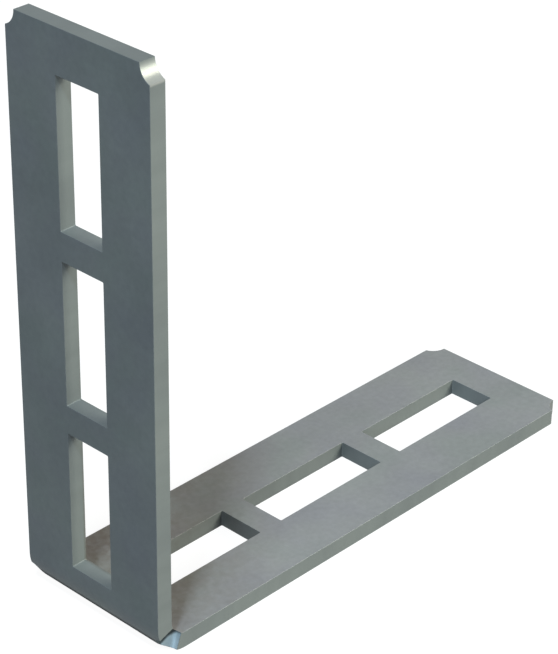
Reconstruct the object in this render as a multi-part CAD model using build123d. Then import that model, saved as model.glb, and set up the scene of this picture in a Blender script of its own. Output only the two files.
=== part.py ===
from build123d import *
from math import cos, pi, sin, tan
import os

# Slotted angle bracket: one flat steel strip, punched, cut to length and folded once into an L.
# The foot lies along X with its underside on Z = 0, the upright stands at the -X end, the width is Y.
# The origin is the middle of the footprint, on the surface that the foot rests on.
# All lengths are millimetres.

# Strip
strip_width = 30.0
strip_thickness = 3.0

# Legs, measured from the outer corner of the fold to the free end
foot_length = 101.0
upright_height = 101.0

# Fold, square
fold_inner_radius = 3.0

# Windows, one punch repeated along each leg, counted from the free end
window_length = 25.0
window_width = 9.0
window_corner_radius = 0.15
window_gap = 5.0
end_margin = 7.5

# Bites at the four free corners, from a round punch centred outside the strip's edge
bite_radius = 3.0
bite_centre_outside = 1.0

# Half-round notches at the two ends of the fold, punched on the strip's edge before folding
notch_radius = 2.0

# All cut edges are broken by this much, square to the skin and along it
edge_break = 0.05

# Derived sizes
fold_outer_radius = fold_inner_radius + strip_thickness
fold_middle_radius = fold_inner_radius + strip_thickness / 2
window_pitch = window_length + window_gap
half_width = strip_width / 2
upright_outer_x = -foot_length / 2
foot_end_x = foot_length / 2
fold_axis_x = upright_outer_x + fold_outer_radius
fold_axis_z = fold_outer_radius

# Cutting tools run past the metal on both sides by this much
overrun = 1.0


def folded_strip():
    """Returns the plain strip, with its square fold, as wide as the strip."""
    with BuildPart() as strip:
        with BuildSketch(Plane.XZ):
            with BuildLine():
                outer = FilletPolyline(
                    (upright_outer_x, upright_height),
                    (upright_outer_x, 0),
                    (foot_end_x, 0),
                    radius=fold_outer_radius,
                )
                inner = FilletPolyline(
                    (upright_outer_x + strip_thickness, upright_height),
                    (upright_outer_x + strip_thickness, strip_thickness),
                    (foot_end_x, strip_thickness),
                    radius=fold_inner_radius,
                )
                Line(outer @ 0, inner @ 0)
                Line(outer @ 1, inner @ 1)
            make_face()
        extrude(amount=half_width, both=True)
    return strip.part


def window_centres(leg_length):
    """Returns the distance from the fold's outer corner to each window that the leg has room for."""
    usable = leg_length - end_margin - fold_outer_radius
    count = int((usable + window_gap) // window_pitch)
    last = leg_length - end_margin - window_length / 2
    return [last - number * window_pitch for number in range(count)]


def window_punch():
    """Returns the tool of one window: long in X, and cutting down through Z = 0 to the thickness."""
    tool_height = strip_thickness + 2 * overrun
    tool = Box(window_length, window_width, tool_height)
    tool = fillet(tool.edges().filter_by(Axis.Z), window_corner_radius)
    return Pos(0, 0, strip_thickness / 2) * tool


def bite_punch():
    """Returns the round tool of a corner bite, cutting down through Z = 0 to the thickness."""
    return Pos(0, 0, strip_thickness / 2) * Cylinder(bite_radius, strip_thickness + 2 * overrun)


def on_foot(along):
    """Returns the place on the foot at this distance from the fold's outer corner."""
    return Location((upright_outer_x + along, 0, 0))


def on_upright(along):
    """Returns the same place on the upright, whose outer face takes the part of the underside."""
    return Location((upright_outer_x, 0, along), (0, 90, 0))


def leg_tools(leg_length, placed):
    """Returns the tools of one leg: its windows and the two bites at its free end."""
    tools = [placed(along) * window_punch() for along in window_centres(leg_length)]
    for side in (-1, 1):
        tools.append(placed(leg_length) * Pos(0, side * (half_width + bite_centre_outside), 0) * bite_punch())
    return tools


def notch_section(side, distance):
    """Returns the notch's outline in a plane square to the fold's bisector, this far from the fold's axis.

    The half-round was punched in the flat, so a point of it at the length s from the fold line stands at
    the angle s / fold_middle_radius after folding, whatever its depth in the thickness.
    """
    steps = 8
    swings = [pi / 2 * step / steps for step in range(-steps, steps + 1)]
    lean = [notch_radius * sin(swing) / fold_middle_radius for swing in swings]
    depth = [notch_radius * cos(swing) for swing in swings]
    points = [(distance * tan(a), side * (d - half_width)) for a, d in zip(lean, depth)]
    arc = Edge.make_spline(points, parameters=[(swing + pi / 2) / pi for swing in swings])
    outside = -side * (half_width + overrun)
    mouth = Polyline(points[-1], (points[-1][0], outside), (points[0][0], outside), points[0])
    bisector = Plane(
        origin=(fold_axis_x, 0, fold_axis_z),
        x_dir=(1, 0, -1),
        z_dir=(-1, 0, -1),
    )
    return bisector.offset(distance) * make_face([arc, *mouth.edges()])


def fold_notch(side):
    """Returns the tool of one folded notch, its walls all pointing at the fold's axis."""
    near_axis = fold_inner_radius / 2
    past_metal = fold_outer_radius + overrun
    return loft([notch_section(side, near_axis), notch_section(side, past_metal)], ruled=True)


def rim_edges(solid):
    """Returns the edges where the strip's two broad skins meet its cut edges."""
    skins = [face for face in solid.faces() if is_skin(face)]
    shared = {}
    for face in skins:
        for edge in face.edges():
            shared.setdefault(edge, []).append(face)
    return [edge for edge, faces in shared.items() if len(faces) == 1]


def is_skin(face):
    """Says whether a face is part of the strip's outer or inner skin, flat or folded."""
    middle = face.center(CenterOf.BOUNDING_BOX)
    if face.geom_type == GeomType.CYLINDER:
        return abs(face.axis_of_rotation.direction.Y) > 0.99
    if face.geom_type != GeomType.PLANE:
        return False
    on_foot_skin = min(abs(middle.Z), abs(middle.Z - strip_thickness)) < 1e-3
    from_outer = middle.X - upright_outer_x
    on_upright_skin = min(abs(from_outer), abs(from_outer - strip_thickness)) < 1e-3
    normal = face.normal_at()
    return (on_foot_skin and abs(normal.Z) > 0.99) or (on_upright_skin and abs(normal.X) > 0.99)


def angle_bracket():
    """Returns the whole bracket."""
    tools = leg_tools(foot_length, on_foot) + leg_tools(upright_height, on_upright)
    tools += [fold_notch(side) for side in (-1, 1)]
    bracket = folded_strip() - tools
    return chamfer(rim_edges(bracket), edge_break)


os.makedirs("parts", exist_ok=True)
export_step(angle_bracket(), "parts/angle_bracket.step")
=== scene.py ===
"""Slotted angle bracket of hot-dip galvanised steel: its finish, and the studio that shows it."""

import logging
import math
from dataclasses import dataclass
from enum import Enum
from typing import Any

import bpy
from mathutils import Matrix, Vector


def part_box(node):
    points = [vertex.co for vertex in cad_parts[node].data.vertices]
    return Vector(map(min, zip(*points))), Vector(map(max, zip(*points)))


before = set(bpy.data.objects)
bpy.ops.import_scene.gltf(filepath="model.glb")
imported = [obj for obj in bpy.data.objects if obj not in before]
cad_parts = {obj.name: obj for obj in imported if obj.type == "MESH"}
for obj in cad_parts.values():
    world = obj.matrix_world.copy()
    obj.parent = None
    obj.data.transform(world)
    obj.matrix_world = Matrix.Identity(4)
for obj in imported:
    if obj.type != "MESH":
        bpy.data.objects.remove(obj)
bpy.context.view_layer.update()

log = logging.getLogger("angle_bracket")

MM = 0.001

MULTIPLY = {"operation": "MULTIPLY"}

Colour = tuple[float, float, float, float]
Tree = bpy.types.NodeTree
Node = bpy.types.Node


class LampTone(Enum):
    """Tint of a softbox's light."""

    COOL = "#DBF2FF"
    FAINT_GREEN = "#F7FFF0"
    WARM = "#FFFCEE"


class Layering(Enum):
    """How a layer lies over what is below it, as the settings of Blender's Mix node."""

    NUMBERS = {"data_type": "FLOAT"}
    COLOURS = {"data_type": "RGBA"}
    TINTS = {"data_type": "RGBA", "blend_type": "MULTIPLY"}


def linear(hex_colour: str) -> Colour:
    """Turns an sRGB hex colour into Blender's linear colour.

    Args:
        hex_colour: Six hex digits after a hash sign.

    Returns:
        Red, green, blue and an alpha of 1, all linear.
    """
    channels = [int(hex_colour[start:start + 2], 16) / 255 for start in (1, 3, 5)]
    red, green, blue = (
        value / 12.92 if value <= 0.04045 else ((value + 0.055) / 1.055) ** 2.4
        for value in channels
    )
    return red, green, blue, 1.0


def add_node(tree: Tree, kind: str, settings: dict[str, Any] | None = None, **inputs: Any) -> Node:
    """Adds a node to a material's or the world's tree, with its settings and links.

    Args:
        tree: The tree that the node goes into.
        kind: Blender's name for the kind of node, without "ShaderNode".
        settings: Values of the node's own properties, by name.
        **inputs: What goes into the node's inputs, by the input's name with underscores for
            spaces, or by "at_" and its number. It is a value, an output, or a node, which
            stands for its first output in use.

    Returns:
        The new node.
    """
    node = tree.nodes.new(f"ShaderNode{kind}")
    for name, value in (settings or {}).items():
        setattr(node, name, value)
    for name, value in inputs.items():
        if name.startswith("at_"):
            socket = node.inputs[int(name[3:])]
        else:
            socket = node.inputs[name.replace("_", " ")]
        if isinstance(value, bpy.types.Node):
            value = next(output for output in value.outputs if output.enabled)
        if isinstance(value, bpy.types.NodeSocket):
            tree.links.new(value, socket)
        else:
            socket.default_value = value
    return node


@dataclass(frozen=True)
class StripPlan:
    """Where the strip's bend, its free ends and its round punches lie, in metres.

    The bend turns about a line along Y through the axis. Along each leg, a place is its distance
    from that axis.
    """

    axis_x: float
    axis_z: float
    thickness: float
    inner_radius: float
    half_width: float
    leg_end: float
    bite_radius: float
    bite_centre_outside: float
    notch_depth: float


@dataclass
class StripPlaces:
    """Tells the places of the folded strip apart, from Object coordinates and the strip's plan.

    Each method adds the nodes that find one kind of place, and gives the node whose value is 1
    there and 0 elsewhere.
    """

    tree: Tree
    plan: StripPlan

    # The normal's share across the strip, where a skin begins and from where on it is whole
    skin_begins: float = 0.4
    skin_whole: float = 0.8
    # A point nearer than this to a face's plane counts as on the face
    face_margin: float = 0.02 * MM
    # Leeway about a round punch's outline: within the first its wall is found whole, and from the
    # second on not at all
    wall_whole: float = 0.1 * MM
    wall_ends: float = 0.4 * MM
    # The bright wall of a bite fades out over this much, up to the free end
    bite_fade: float = 1.0 * MM
    # A notch's painted shade ends at a plane that goes back by this much for each metre down. At the
    # height of the bend's axis it is whole as far out as the first place and gone from the second on
    notch_shade_slope: float = 1.5
    notch_shade_whole: float = 3.1 * MM
    notch_shade_ends: float = 3.6 * MM
    # How deep under the inner skin the painted shade of the inner corner is whole, and where it ends.
    # The lower rim of a foot window counts as so deep that half of that painted shade is left there
    corner_shade_whole: float = 0.12 * MM
    corner_shade_ends: float = 0.6 * MM
    window_rim_depth: float = 0.36 * MM
    # The normal's share towards the bend's ridge, and that downwards, where each place begins and
    # from where on it is whole
    ridge_begins: float = 0.92
    ridge_whole: float = 0.995
    underside_begins: float = 0.3
    underside_whole: float = 0.9
    # The share of the face's own normal in the rounded one, at which an edge is whole
    edge_whole: float = 0.8

    def __post_init__(self) -> None:
        """Adds what several of them read: the place, the normal, and how both lie to the bend.

        From the bend's axis, the way to a point, less its part along each leg, is square to the
        skins, on the legs as on the bend. The normal's share along it is 1 on the outer skin, -1 on
        the inner one and 0 on the cut edges. The place along a leg is below 0 on the bend, and the
        place across is the distance from the strip's middle line.
        """
        tree = self.tree
        texture = add_node(tree, "TexCoord")
        self.place = texture.outputs["Object"]
        self.normal = texture.outputs["Normal"]
        axis = (self.plan.axis_x, 0.0, self.plan.axis_z)
        minimum = {"operation": "MINIMUM"}
        way = add_node(tree, "VectorMath", {"operation": "SUBTRACT"}, at_0=self.place, at_1=axis)
        square = add_node(tree, "VectorMath", minimum, at_0=way, at_1=(0.0, 0.0, 0.0))
        square = add_node(tree, "VectorMath", MULTIPLY, at_0=square, at_1=(1.0, 0.0, 1.0))
        square = add_node(tree, "VectorMath", {"operation": "NORMALIZE"}, at_0=square)
        self.facing = add_node(tree, "SeparateXYZ", Vector=self.normal).outputs
        self.from_axis = add_node(tree, "SeparateXYZ", Vector=way).outputs
        self.outwards = add_node(
            tree, "VectorMath", {"operation": "DOT_PRODUCT"}, at_0=square, at_1=self.normal
        )
        self.along = add_node(
            tree, "Math", {"operation": "MAXIMUM"}, at_0=self.from_axis["X"], at_1=self.from_axis["Z"]
        )
        self.across = add_node(tree, "Math", {"operation": "ABSOLUTE"}, at_0=self.from_axis["Y"])

    def skins(self) -> Node:
        """Finds the strip's two skins.

        Returns:
            The node of the value.
        """
        share = add_node(self.tree, "Math", {"operation": "ABSOLUTE"}, at_0=self.outwards)
        return add_node(
            self.tree, "MapRange", Value=share, From_Min=self.skin_begins, From_Max=self.skin_whole
        )

    def outer_skin(self) -> Node:
        """Finds the skin on the outside of the angle.

        Returns:
            The node of the value.
        """
        return add_node(
            self.tree,
            "MapRange",
            Value=self.outwards,
            From_Min=self.skin_begins,
            From_Max=self.skin_whole,
        )

    def bites(self) -> Node:
        """Finds the walls of the bites at the upright's free corners.

        A bite's wall lies at its radius from its centre, beside the upright's free end. Towards
        that end the value fades to 0.

        Returns:
            The node of the value.
        """
        tree = self.tree
        plan = self.plan
        flat = add_node(tree, "CombineXYZ", X=self.from_axis["Z"], Y=self.across)
        centre = (plan.leg_end, plan.half_width + plan.bite_centre_outside, 0.0)
        distance = add_node(tree, "VectorMath", {"operation": "DISTANCE"}, at_0=flat, at_1=centre)
        wall = add_node(
            tree,
            "MapRange",
            Value=distance,
            From_Min=plan.bite_radius + self.wall_ends,
            From_Max=plan.bite_radius + self.wall_whole,
        )
        from_end = add_node(
            tree,
            "MapRange",
            Value=self.from_axis["Z"],
            From_Min=plan.leg_end,
            From_Max=plan.leg_end - self.bite_fade,
        )
        return add_node(tree, "Math", MULTIPLY, at_0=wall, at_1=from_end)

    def notches(self) -> Node:
        """Finds the walls of the notches at the fold's ends.

        A notch's wall lies on the bend, inside the strip's edge by up to the notch's depth.

        Returns:
            The node of the value.
        """
        tree = self.tree
        plan = self.plan
        on_bend = add_node(tree, "Math", {"operation": "LESS_THAN"}, at_0=self.along, at_1=0.0)
        inside_edge = add_node(
            tree,
            "MapRange",
            Value=self.across,
            From_Min=plan.half_width - self.face_margin,
            From_Max=plan.half_width - self.wall_whole,
        )
        notch_floor = plan.half_width - plan.notch_depth - self.wall_whole
        near_edge = add_node(
            tree, "Math", {"operation": "GREATER_THAN"}, at_0=self.across, at_1=notch_floor
        )
        notch = add_node(tree, "Math", MULTIPLY, at_0=inside_edge, at_1=near_edge)
        return add_node(tree, "Math", MULTIPLY, at_0=notch, at_1=on_bend)

    def under_upright(self) -> Node:
        """Finds what lies under the upright's end of a notch, where the notch's shade is painted.

        It is one side of a plane along Y, which leans down and back from the foot's end of the
        notch at the inner skin.

        Returns:
            The node of the value.
        """
        tree = self.tree
        lean = add_node(
            tree,
            "Math",
            {"operation": "MULTIPLY_ADD"},
            at_0=self.from_axis["Z"],
            at_1=-self.notch_shade_slope,
            at_2=self.from_axis["X"],
        )
        return add_node(
            tree, "MapRange", Value=lean, From_Min=self.notch_shade_ends, From_Max=self.notch_shade_whole
        )

    def free_ends(self) -> Node:
        """Finds the strip's two free ends.

        Returns:
            The node of the value.
        """
        brink = self.plan.leg_end - self.face_margin
        return add_node(
            self.tree, "Math", {"operation": "GREATER_THAN"}, at_0=self.along, at_1=brink
        )

    def bend_ridge(self) -> Node:
        """Finds the ridge of the bend, where its outer skin looks out half-way between the legs.

        Returns:
            The node of the value.
        """
        tree = self.tree
        ridge = (-math.sqrt(0.5), 0.0, -math.sqrt(0.5))
        share = add_node(
            tree, "VectorMath", {"operation": "DOT_PRODUCT"}, at_0=self.normal, at_1=ridge
        )
        return add_node(
            tree, "MapRange", Value=share, From_Min=self.ridge_begins, From_Max=self.ridge_whole
        )

    def inner_corner(self, reach: float, lean: float) -> Node:
        """Finds the inside of the angle near the fold, where shade is painted.

        The value falls evenly with the distance from the line where the inner skins would meet
        without a bend, and down the walls of the foot's windows. The rest is left out.

        Args:
            reach: The distance at which it comes to 0 on the strip's middle line, in metres.
            lean: How much farther it reaches for each metre towards +Y.

        Returns:
            The node of the value.
        """
        tree = self.tree
        plan = self.plan
        corner = (plan.axis_x - plan.inner_radius, 0.0, plan.axis_z - plan.inner_radius)
        way = add_node(tree, "VectorMath", {"operation": "SUBTRACT"}, at_0=self.place, at_1=corner)
        flat = add_node(tree, "VectorMath", MULTIPLY, at_0=way, at_1=(1.0, 0.0, 1.0))
        distance = add_node(tree, "VectorMath", {"operation": "LENGTH"}, at_0=flat)
        distance = add_node(
            tree,
            "Math",
            {"operation": "MULTIPLY_ADD"},
            at_0=self.from_axis["Y"],
            at_1=-lean,
            at_2=distance,
        )
        near = add_node(tree, "MapRange", Value=distance, From_Max=reach, To_Min=1.0, To_Max=0.0)
        parts = add_node(tree, "SeparateXYZ", Vector=way).outputs
        squeeze = self.window_rim_depth / plan.thickness
        deep = add_node(tree, "Math", MULTIPLY, at_0=parts["Z"], at_1=squeeze)
        deep = add_node(tree, "Math", {"operation": "MINIMUM"}, at_0=parts["X"], at_1=deep)
        inside = add_node(
            tree, "MapRange", Value=deep, From_Min=-self.corner_shade_ends, From_Max=-self.corner_shade_whole
        )
        side = plan.half_width - self.face_margin
        within = add_node(tree, "Math", {"operation": "LESS_THAN"}, at_0=self.across, at_1=side)
        near = add_node(tree, "Math", MULTIPLY, at_0=near, at_1=within)
        return add_node(tree, "Math", MULTIPLY, at_0=near, at_1=inside)

    def underside(self) -> Node:
        """Finds the faces that look down: the foot's lower skin, and the bend as it turns to it.

        Returns:
            The node of the value.
        """
        return add_node(
            self.tree,
            "MapRange",
            Value=self.facing["Z"],
            From_Min=-self.underside_begins,
            From_Max=-self.underside_whole,
        )

    def sharp_edges(self, radius: float) -> Node:
        """Finds the outer edges: where the normal, rounded off over the radius, leaves the face's own.

        Args:
            radius: How far from the edge it reaches, in metres.

        Returns:
            The node of the value.
        """
        tree = self.tree
        rounded = add_node(tree, "Bevel", {"samples": 4}, Radius=radius)
        own = add_node(tree, "NewGeometry").outputs["Normal"]
        agreement = add_node(tree, "VectorMath", {"operation": "DOT_PRODUCT"}, at_0=rounded, at_1=own)
        return add_node(
            tree, "MapRange", Value=agreement, From_Min=1.0, From_Max=self.edge_whole
        )


@dataclass(frozen=True)
class ZincSurface:
    """One kind of galvanised surface: its greys, from dark cloud to pale, and how it takes light."""

    dark_cloud: str
    body: str
    pale_cloud: str
    metallic: float
    roughness: float

    def greys(self, tree: Tree, clouds: Node) -> Node:
        """Adds the grey of the zinc, from its dark clouds to its pale ones.

        Args:
            tree: The material's tree.
            clouds: The cloud pattern, from 0 to 1, most of it near a half.

        Returns:
            The node that gives the grey.
        """
        ramp = add_node(tree, "ValToRGB", Fac=clouds)
        stops = ramp.color_ramp.elements
        stops[0].position = 0.3
        stops[0].color = linear(self.dark_cloud)
        stops[1].position = 0.7
        stops[1].color = linear(self.pale_cloud)
        middle = stops.new(0.5)
        middle.color = linear(self.body)
        return ramp


@dataclass(frozen=True)
class GalvanisedSteel:
    """Hot-dip galvanised strip that has lost its first shine.

    The zinc froze in crystals and has since grown a dull grey skin of oxide and carbonate. That skin
    is a matt mineral over metal, so the eye sees a slate grey with soft clouds of lighter and darker
    zinc, and hardly any mirror. The shear and the punch left the cut edges smoother, and they took a
    thinner coat, with faint streaks the way the tool went through. The small round punches burnished
    their walls, which are bright zinc and shine in a band at the upright's end and in the notches,
    while those at the foot's end went dull. The notches' walls also carry a painted bluish reflection
    of the cool lamps. Painted shade darkens the outer side, what faces the floor, the bend's ridge,
    the notches' floors under the upright and the inside of the angle near the fold.
    """

    # What shines as metal is what the oxide leaves bare: little of the skins and the sheared edges,
    # and half of the burnished walls
    skin: ZincSurface = ZincSurface("#8A888A", "#8F8D8E", "#949292", 0.06, 0.5)
    cut: ZincSurface = ZincSurface("#737676", "#787B7A", "#7D807E", 0.05, 0.5)
    bitten: ZincSurface = ZincSurface("#9A9A95", "#A1A19C", "#A8A8A3", 0.5, 0.36)
    # The notches' walls are tinted bluish: a painted reflection of the cool lamps, over bright zinc
    notched_with_painted_cool_light: ZincSurface = ZincSurface("#8A9DA9", "#91A4B0", "#98ABB7", 0.5, 0.44)
    specular_level: float = 0.2
    roughness_spread: float = 0.05

    # Clouds come from how the coat drained and cooled, over a centimetre or so
    cloud_size: float = 16.0 * MM
    cloud_seed: float = 2.5
    # Frozen zinc crystals of a dull coat are some millimetres wide, and hardly show. Their borders
    # bend by this share of their width
    crystal_size: float = 7.0 * MM
    crystal_contrast: float = 0.025
    crystal_bend: float = 0.9
    # Patches of thicker and thinner oxide turn the grey a little to violet and to green
    violet: str = "#FCFBFF"
    green: str = "#FBFFFB"
    tint_size: float = 11.0 * MM
    tint_seed: float = 1.0
    # Oxide grains are hundredths of a millimetre wide, drawn at this size so that they show
    grain_size: float = 1.0 * MM
    grain_contrast: float = 0.06
    grain_height: float = 0.004 * MM
    # The dipped coat lies in a slow swell
    swell_size: float = 8.0 * MM
    swell_height: float = 0.03 * MM
    # Streaks of the punch and shear, run together by the zinc
    streak_size: float = 3.0 * MM
    streak_contrast: float = 0.05
    streak_height: float = 0.004 * MM
    # Brownish painted shade in the inside of the angle, reaching farther towards +Y as the upright's
    # shadow does, with the share of it that is left between its specks and on the dark clouds
    inner_corner_painted_shade: str = "#D6CCC2"
    corner_shade_reach: float = 44.0 * MM
    corner_shade_lean: float = 1.0
    corner_shade_speck_size: float = 1.3 * MM
    corner_shade_between_specks: float = 0.55
    corner_shade_on_dark_clouds: float = 0.5
    # The outer side is painted a little darker than the inner one: painted shade
    outer_side_painted_shade: str = "#ABB4B4"
    # Painted shade, a darker grey, on what faces the floor, which is also a little rougher
    underside_painted_shade: str = "#CFCFCD"
    underside_roughness: float = 0.15
    # Painted shade, a darker grey, on the bend's ridge and on the notches' floors under the upright,
    # with more roughness on the ridge
    ridge_and_notch_painted_shade: str = "#6A6B69"
    ridge_roughness: float = 0.45
    # The shear left the free ends a little duller than the punch left the windows
    sheared: str = "#F1F1F1"
    # Zinc rubbed bright, here and there on the outer edges
    worn_edge: str = "#A3A7A8"
    worn_reach: float = 0.25 * MM
    worn_spot_size: float = 5.0 * MM
    worn_share: float = 0.1

    def material(self, plan: StripPlan) -> bpy.types.Material:
        """Builds the material.

        Args:
            plan: Where the strip's bend, ends and punches lie.

        Returns:
            The galvanised steel, on Object coordinates.
        """
        steel = bpy.data.materials.new("galvanised_steel_dull")
        steel.use_nodes = True
        tree = steel.node_tree
        tree.nodes.clear()
        strip = StripPlaces(tree, plan)
        skins = strip.skins()
        bites = strip.bites()
        notches = strip.notches()
        clouds = add_node(
            tree,
            "TexNoise",
            {"noise_dimensions": "4D"},
            Vector=strip.place,
            W=self.cloud_seed,
            Scale=1 / self.cloud_size,
            Detail=4.0,
        )
        grain = add_node(tree, "TexNoise", Vector=strip.place, Scale=1 / self.grain_size, Detail=2.0)
        streaks = self._streaks(strip)
        skin = self._skin_colour(strip, clouds, grain)
        cut = self._cut_colour(strip, bites, notches, clouds, streaks)
        colour = self._laid(tree, cut, Layering.COLOURS, [(skins, skin)])
        colour = self._painted_shade_and_wear(strip, colour, clouds)
        metallic = self._laid(
            tree,
            self.cut.metallic,
            Layering.NUMBERS,
            [
                (bites, self.bitten.metallic),
                (notches, self.notched_with_painted_cool_light.metallic),
                (skins, self.skin.metallic),
            ],
        )
        roughness = self._laid(
            tree,
            self.cut.roughness,
            Layering.NUMBERS,
            [
                (bites, self.bitten.roughness),
                (notches, self.notched_with_painted_cool_light.roughness),
                (skins, self.skin.roughness),
            ],
        )
        shader = add_node(
            tree,
            "BsdfPrincipled",
            Base_Color=colour,
            Metallic=metallic,
            Roughness=self._aged_roughness(strip, roughness, clouds),
            Specular_IOR_Level=self.specular_level,
            Normal=self._relief(strip, skins, grain, streaks),
        )
        add_node(tree, "OutputMaterial", Surface=shader)
        return steel

    @staticmethod
    def _laid(tree: Tree, value: Any, layering: Layering, layers: list[tuple[Node, Any]]) -> Node:
        """Lays values over each other, each at its own place.

        Args:
            tree: The material's tree.
            value: The value below all, a number, colour or node.
            layering: Says that the layers are numbers, colours or tints.
            layers: From the lowest, each one's place, which is 1 where it lies, and its value.

        Returns:
            The node of the value.
        """
        # The Mix node has its inputs for numbers apart from those for colours
        below, above = ("at_2", "at_3") if layering is Layering.NUMBERS else ("at_6", "at_7")
        for place, layer in layers:
            inputs = {below: value, above: layer}
            value = add_node(tree, "Mix", layering.value, at_0=place, **inputs)
        return value

    def _cut_colour(
        self, strip: StripPlaces, bites: Node, notches: Node, clouds: Node, streaks: Node
    ) -> Node:
        """Adds the cut edges' colour: dull where sheared, bright where punched round, and streaked.
        The notches' walls carry a painted bluish reflection, and painted shade on their floors.

        Args:
            strip: The strip's places.
            bites: 1 on the bright walls of the corner bites and 0 elsewhere.
            notches: 1 on the walls of the fold's notches and 0 elsewhere.
            clouds: The cloud pattern.
            streaks: The streak pattern.

        Returns:
            The node of the colour.
        """
        tree = strip.tree
        bitten = self.bitten.greys(tree, clouds)
        # The notches' walls carry a painted bluish reflection of the cool lamps
        notched_with_painted_cool_light = self.notched_with_painted_cool_light.greys(tree, clouds)
        colour = self.cut.greys(tree, clouds)
        colour = self._laid(tree, colour, Layering.COLOURS, [(bites, bitten), (notches, notched_with_painted_cool_light)])
        # The notches' floors under the upright are painted darker: painted shade
        notch_painted_shade = add_node(tree, "Math", MULTIPLY, at_0=notches, at_1=strip.under_upright())
        tints = [(notch_painted_shade, linear(self.ridge_and_notch_painted_shade)), (strip.free_ends(), linear(self.sheared))]
        colour = self._laid(tree, colour, Layering.TINTS, tints)
        return self._contrasted(tree, colour, streaks, self.streak_contrast)

    def _streaks(self, strip: StripPlaces) -> Node:
        """Adds the streaks that punch and shear leave on the cut edges, across the thickness.

        The pattern is noise on the strip's length and width alone, so it doesn't change through the
        thickness. The length is Z up the upright and X along the foot, each counted from the bend.

        Args:
            strip: The strip's places.

        Returns:
            The node of the pattern, from 0 to 1.
        """
        tree = strip.tree
        farther = {"operation": "MAXIMUM"}
        up = add_node(tree, "Math", farther, at_0=strip.from_axis["Z"], at_1=0.0)
        out = add_node(tree, "Math", farther, at_0=strip.from_axis["X"], at_1=0.0)
        length = add_node(tree, "Math", {"operation": "SUBTRACT"}, at_0=up, at_1=out)
        flat = add_node(tree, "CombineXYZ", X=length, Y=strip.from_axis["Y"])
        return add_node(
            tree,
            "TexNoise",
            {"noise_dimensions": "2D"},
            Vector=flat,
            Scale=1 / self.streak_size,
            Detail=4.0,
        )

    def _skin_colour(self, strip: StripPlaces, clouds: Node, grain: Node) -> Node:
        """Adds the skins' colour: cloudy greys, drifting tints, crystals and grain.

        Args:
            strip: The strip's places.
            clouds: The cloud pattern.
            grain: The grain pattern.

        Returns:
            The node of the colour.
        """
        tree = strip.tree
        drift = add_node(
            tree,
            "TexNoise",
            {"noise_dimensions": "4D"},
            Vector=strip.place,
            W=self.tint_seed,
            Scale=1 / self.tint_size,
            Detail=2.0,
        )
        violet = add_node(tree, "MapRange", Value=drift, From_Min=0.5, From_Max=0.35)
        green = add_node(tree, "MapRange", Value=drift, From_Min=0.5, From_Max=0.65)
        tints = [(violet, linear(self.violet)), (green, linear(self.green))]
        colour = self._laid(tree, self.skin.greys(tree, clouds), Layering.TINTS, tints)
        colour = self._contrasted(tree, colour, self._crystals(strip), self.crystal_contrast)
        return self._contrasted(tree, colour, grain, self.grain_contrast)

    def _crystals(self, strip: StripPlaces) -> Node:
        """Adds the zinc's frozen crystals: cells with bent, soft borders, each of its own shade.

        Args:
            strip: The strip's places.

        Returns:
            The node of the shade, from 0 to 1.
        """
        tree = strip.tree
        size = self.crystal_size
        bend = self.crystal_bend * size
        noise = add_node(tree, "TexNoise", Vector=strip.place, Scale=2 / size, Detail=2.0)
        moved = add_node(
            tree,
            "VectorMath",
            {"operation": "MULTIPLY_ADD"},
            at_0=noise.outputs["Color"],
            at_1=(bend, bend, bend),
            at_2=strip.place,
        )
        cells = add_node(
            tree, "TexVoronoi", {"feature": "SMOOTH_F1"}, Vector=moved, Scale=1 / size, Smoothness=0.5
        )
        return add_node(tree, "SeparateColor", Color=cells.outputs["Color"])

    def _painted_shade_and_wear(self, strip: StripPlaces, colour: Node, clouds: Node) -> Node:
        """Adds painted shade in the inner corner, on the outer side, on what faces the floor and on
        the bend's ridge, and rubbed edges.

        Args:
            strip: The strip's places.
            colour: The colour of the clean zinc.
            clouds: The cloud pattern, which frays the border of the inner corner's painted shade.

        Returns:
            The node of the colour.
        """
        tree = strip.tree
        # Painted shade: in the inner corner, on the outer side, on what faces the floor and on the
        # bend's ridge
        tints = [
            (self._corner_shade_strength(strip, clouds), linear(self.inner_corner_painted_shade)),
            (strip.outer_skin(), linear(self.outer_side_painted_shade)),
            (strip.underside(), linear(self.underside_painted_shade)),
            (strip.bend_ridge(), linear(self.ridge_and_notch_painted_shade)),
        ]
        colour = self._laid(tree, colour, Layering.TINTS, tints)
        spots = add_node(tree, "TexNoise", Vector=strip.place, Scale=1 / self.worn_spot_size)
        spots = add_node(
            tree,
            "MapRange",
            Value=spots,
            From_Min=0.55,
            From_Max=0.65,
            To_Max=self.worn_share,
        )
        edges = strip.sharp_edges(self.worn_reach)
        worn = add_node(tree, "Math", MULTIPLY, at_0=edges, at_1=spots)
        return self._laid(tree, colour, Layering.COLOURS, [(worn, linear(self.worn_edge))])

    def _corner_shade_strength(self, strip: StripPlaces, clouds: Node) -> Node:
        """Adds the strength of the painted shade in the inner corner: in specks, and frayed by the
        clouds.

        Args:
            strip: The strip's places.
            clouds: The cloud pattern.

        Returns:
            The node of the strength, from 0 to 1.
        """
        tree = strip.tree
        specks = add_node(
            tree, "TexNoise", Vector=strip.place, Scale=1 / self.corner_shade_speck_size, Detail=3.0
        )
        specks = add_node(
            tree,
            "MapRange",
            Value=specks,
            From_Min=0.38,
            From_Max=0.62,
            To_Min=self.corner_shade_between_specks,
        )
        frayed = add_node(
            tree,
            "MapRange",
            Value=clouds,
            From_Min=0.3,
            From_Max=0.55,
            To_Min=self.corner_shade_on_dark_clouds,
        )
        corner = strip.inner_corner(self.corner_shade_reach, self.corner_shade_lean)
        speckled = add_node(tree, "Math", MULTIPLY, at_0=corner, at_1=specks)
        return add_node(tree, "Math", MULTIPLY, at_0=speckled, at_1=frayed)

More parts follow.
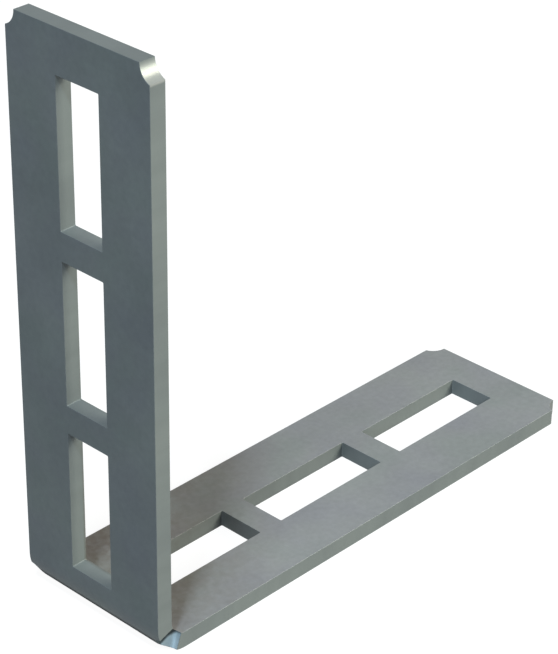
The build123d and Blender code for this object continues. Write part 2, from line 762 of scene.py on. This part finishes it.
    def _aged_roughness(self, strip: StripPlaces, level: Node, clouds: Node) -> Node:
        """Adds what age did to the roughness: pale clouds are younger and smoother; what faces the
        floor and the bend's ridge are rougher.

        Args:
            strip: The strip's places.
            level: The roughness of the clean surface.
            clouds: The cloud pattern.

        Returns:
            The node of the roughness.
        """
        tree = strip.tree
        spread = add_node(
            tree,
            "MapRange",
            Value=clouds,
            From_Min=0.3,
            From_Max=0.7,
            To_Min=self.roughness_spread,
            To_Max=-self.roughness_spread,
        )
        below = add_node(tree, "MapRange", Value=strip.underside(), To_Max=self.underside_roughness)
        ridge = add_node(tree, "MapRange", Value=strip.bend_ridge(), To_Max=self.ridge_roughness)
        for more in (spread, below, ridge):
            level = add_node(tree, "Math", {"operation": "ADD"}, at_0=level, at_1=more)
        return level

    def _relief(self, strip: StripPlaces, skins: Node, grain: Node, streaks: Node) -> Node:
        """Adds the relief: the coat's slow swell, with grain on the skins and streaks on cut edges.

        Args:
            strip: The strip's places.
            skins: 1 on the skins and 0 on the cut edges.
            grain: The grain pattern.
            streaks: The streak pattern.

        Returns:
            The node of the bumped normal.
        """
        tree = strip.tree
        swell = add_node(tree, "TexNoise", Vector=strip.place, Scale=1 / self.swell_size, Detail=1.0)
        slow = add_node(tree, "Bump", Distance=self.swell_height, Height=swell)
        fine = self._laid(tree, streaks, Layering.NUMBERS, [(skins, grain)])
        height = add_node(
            tree, "MapRange", Value=skins, To_Min=self.streak_height, To_Max=self.grain_height
        )
        return add_node(tree, "Bump", Distance=height, Height=fine, Normal=slow)

    @staticmethod
    def _contrasted(tree: Tree, colour: Node, pattern: Node, contrast: float) -> Node:
        """Adds a pattern of lighter and darker places to a colour.

        Args:
            tree: The material's tree.
            colour: The colour below.
            pattern: The pattern, from 0 to 1, most of it near a half.
            contrast: The share of the colour that is added or taken at the pattern's ends.

        Returns:
            The node of the colour.
        """
        factor = add_node(
            tree,
            "MapRange",
            Value=pattern,
            From_Min=0.25,
            From_Max=0.75,
            To_Min=1 - contrast,
            To_Max=1 + contrast,
        )
        return add_node(tree, "VectorMath", {"operation": "SCALE"}, at_0=colour, Scale=factor)


@dataclass
class AngleBracket:
    """The bracket itself, whose whole form is the CAD node."""

    node: str = "angle_bracket"
    strip_thickness: float = 3.0 * MM
    fold_inner_radius: float = 3.0 * MM
    bite_radius: float = 3.0 * MM
    bite_centre_outside: float = 1.0 * MM
    notch_depth: float = 2.0 * MM
    finish: GalvanisedSteel = GalvanisedSteel()

    def plan(self) -> StripPlan:
        """Works out where the parts of the strip lie, from the node's box and the strip's sizes.

        Returns:
            The plan.
        """
        lowest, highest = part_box(self.node)
        outer_radius = self.fold_inner_radius + self.strip_thickness
        return StripPlan(
            axis_x=lowest.x + outer_radius,
            axis_z=lowest.z + outer_radius,
            thickness=self.strip_thickness,
            inner_radius=self.fold_inner_radius,
            half_width=(highest.y - lowest.y) / 2,
            leg_end=highest.z - lowest.z - outer_radius,
            bite_radius=self.bite_radius,
            bite_centre_outside=self.bite_centre_outside,
            notch_depth=self.notch_depth,
        )

    def dress(self) -> None:
        """Gives the CAD node its finish."""
        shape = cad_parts[self.node]
        steel = self.finish.material(self.plan())
        for number in range(len(shape.data.materials)):
            shape.data.materials[number] = steel
        faces = len(shape.data.polygons)
        log.info("%s: %d faces, dressed as %s", self.node, faces, steel.name)


@dataclass(frozen=True)
class Softbox:
    """A square area lamp that faces the bracket.

    Its azimuth, from +X towards +Y, and its elevation are in degrees, its side and distance in
    metres. Its level is the brightness, as shown, of a white matt card that faces it squarely, so
    levels of all lamps that add up to about 1 show a colour about as it is written.
    """

    name: str
    azimuth: float
    elevation: float
    level: float
    side: float
    distance: float
    tone: LampTone

    def build(self, centre: Vector) -> None:
        """Hangs the lamp in the studio.

        Args:
            centre: The point that the lamp faces, in metres.
        """
        lamp = bpy.data.lights.new(self.name, "AREA")
        lamp.shape = "SQUARE"
        lamp.size = self.side
        lamp.energy = self.level * (math.pi * self.distance) ** 2
        lamp.color = linear(self.tone.value)[:3]
        holder = bpy.data.objects.new(self.name, lamp)
        across = math.radians(self.azimuth)
        up = math.radians(self.elevation)
        towards = Vector(
            (math.cos(across) * math.cos(up), math.sin(across) * math.cos(up), math.sin(up))
        )
        holder.location = centre + towards * self.distance
        holder.rotation_euler = towards.to_track_quat("Z", "Y").to_euler()
        bpy.context.scene.collection.objects.link(holder)
        log.info("%s: level %.2f", self.name, self.level)


@dataclass
class Studio:
    """Plain pale floor, white surroundings and soft lamps."""

    floor_half_side: float = 3.0
    floor_colour: str = "#707070"
    floor_seen_colour: str = "#666666"
    floor_seen_glow: float = 0.945
    surroundings: str = "#FFFFFF"
    lamp_centre: tuple[float, float, float] = (0.0, 0.0, 0.04)
    lamps: tuple[Softbox, ...] = (
        # Its reflection is the bright band in the upright's near bite
        Softbox(
            "right_small",
            azimuth=-43.0,
            elevation=35.0,
            level=0.25,
            side=0.26,
            distance=1.0,
            tone=LampTone.WARM,
        ),
        Softbox(
            "front",
            azimuth=-70.0,
            elevation=24.0,
            level=0.85,
            side=0.5,
            distance=1.2,
            tone=LampTone.FAINT_GREEN,
        ),
        # The smallest, which throws the upright's shade over the foot with a crisp edge
        Softbox(
            "left_high",
            azimuth=-151.0,
            elevation=59.0,
            level=0.61,
            side=0.09,
            distance=1.0,
            tone=LampTone.COOL,
        ),
        Softbox(
            "left_low",
            azimuth=-163.0,
            elevation=16.0,
            level=0.44,
            side=0.24,
            distance=1.0,
            tone=LampTone.COOL,
        ),
    )

    def build(self) -> None:
        """Builds the floor, the surroundings and the lamps."""
        self._build_floor()
        self._build_surroundings()
        centre = Vector(self.lamp_centre)
        for lamp in self.lamps:
            lamp.build(centre)

    def _build_floor(self) -> None:
        """Lays the floor, a square sheet at the height that the foot rests on."""
        half = self.floor_half_side
        corners = [(-half, -half, 0.0), (half, -half, 0.0), (half, half, 0.0), (-half, half, 0.0)]
        mesh = bpy.data.meshes.new("studio_floor")
        mesh.from_pydata(corners, [], [(0, 1, 2, 3)])
        mesh.materials.append(self._floor_paint())
        floor = bpy.data.objects.new("studio_floor", mesh)
        bpy.context.scene.collection.objects.link(floor)
        log.info("studio_floor: %.0f m square", 2 * half)

    def _floor_paint(self) -> bpy.types.Material:
        """Builds the floor's matt paint, which shows as white and keeps the bracket's shadow.

        Returns:
            The material: a pale matt grey in the light that it throws back on the bracket, and a
            white with a faint shadow to the camera and in the metal.
        """
        paint = bpy.data.materials.new("studio_floor_paint")
        paint.use_nodes = True
        tree = paint.node_tree
        tree.nodes.clear()
        lit = add_node(tree, "BsdfDiffuse", Color=linear(self.floor_colour))
        seen = add_node(tree, "BsdfDiffuse", Color=linear(self.floor_seen_colour))
        glow = add_node(tree, "Emission", Strength=self.floor_seen_glow)
        white = add_node(tree, "AddShader", at_0=seen, at_1=glow)
        mixed = add_node(tree, "MixShader", Fac=self._seen_as_background(tree), at_1=lit, at_2=white)
        add_node(tree, "OutputMaterial", Surface=mixed)
        return paint

    def _build_surroundings(self) -> None:
        """Makes the world white where it is seen, with no light of its own elsewhere."""
        world = bpy.data.worlds.new("studio_surroundings")
        world.use_nodes = True
        tree = world.node_tree
        tree.nodes.clear()
        seen = self._seen_as_background(tree)
        white = add_node(tree, "Background", Color=linear(self.surroundings), Strength=seen)
        add_node(tree, "OutputWorld", Surface=white)
        bpy.context.scene.world = world
        log.info("studio_surroundings: %s", self.surroundings)

    @staticmethod
    def _seen_as_background(tree: Tree) -> Node:
        """Adds the test for rays that see the background: the camera's, and those in metal and glass.

        Args:
            tree: The tree of the floor's paint or of the world.

        Returns:
            The node whose value is 1 on such rays and 0 on the others.
        """
        rays = add_node(tree, "LightPath").outputs
        either = {"operation": "MAXIMUM"}
        found = add_node(tree, "Math", either, at_0=rays["Is Camera Ray"], at_1=rays["Is Glossy Ray"])
        return add_node(tree, "Math", either, at_0=found, at_1=rays["Is Transmission Ray"])


@dataclass
class PhotoCamera:
    """The photograph's camera, as fitted to the straight edges of the bracket in it.

    Its places are in metres, its roll in degrees, its lens and sensor in millimetres.
    """

    position: tuple[float, float, float] = (-258.81 * MM, -236.66 * MM, 236.30 * MM)
    target: tuple[float, float, float] = (-10.48 * MM, -1.94 * MM, 38.69 * MM)
    roll: float = -0.821
    lens: float = 134.868
    sensor: float = 36.0
    nearest_seen: float = 10.0 * MM
    farthest_seen: float = 20.0

    def build(self) -> None:
        """Sets up the camera and makes it the scene's own."""
        data = bpy.data.cameras.new("photo_camera")
        data.lens = self.lens
        data.sensor_width = self.sensor
        data.clip_start = self.nearest_seen
        data.clip_end = self.farthest_seen
        camera = bpy.data.objects.new("photo_camera", data)
        towards = (Vector(self.target) - Vector(self.position)).normalized()
        level_right = towards.cross(Vector((0, 0, 1))).normalized()
        level_down = towards.cross(level_right)
        turn = math.radians(self.roll)
        right = level_right * math.cos(turn) + level_down * math.sin(turn)
        down = level_down * math.cos(turn) - level_right * math.sin(turn)
        axes = Matrix((right, -down, -towards)).transposed()
        camera.matrix_world = Matrix.Translation(self.position) @ axes.to_4x4()
        bpy.context.scene.collection.objects.link(camera)
        bpy.context.scene.camera = camera
        log.info("photo_camera: %.1f mm lens", self.lens)


def main() -> None:
    """Builds the bracket's finish, the studio and the camera, in that order."""
    logging.basicConfig(level=logging.INFO, format="%(name)s: %(message)s")
    AngleBracket().dress()
    Studio().build()
    PhotoCamera().build()
    bpy.context.scene.view_settings.view_transform = "Standard"


if __name__ == "__main__":
    main()
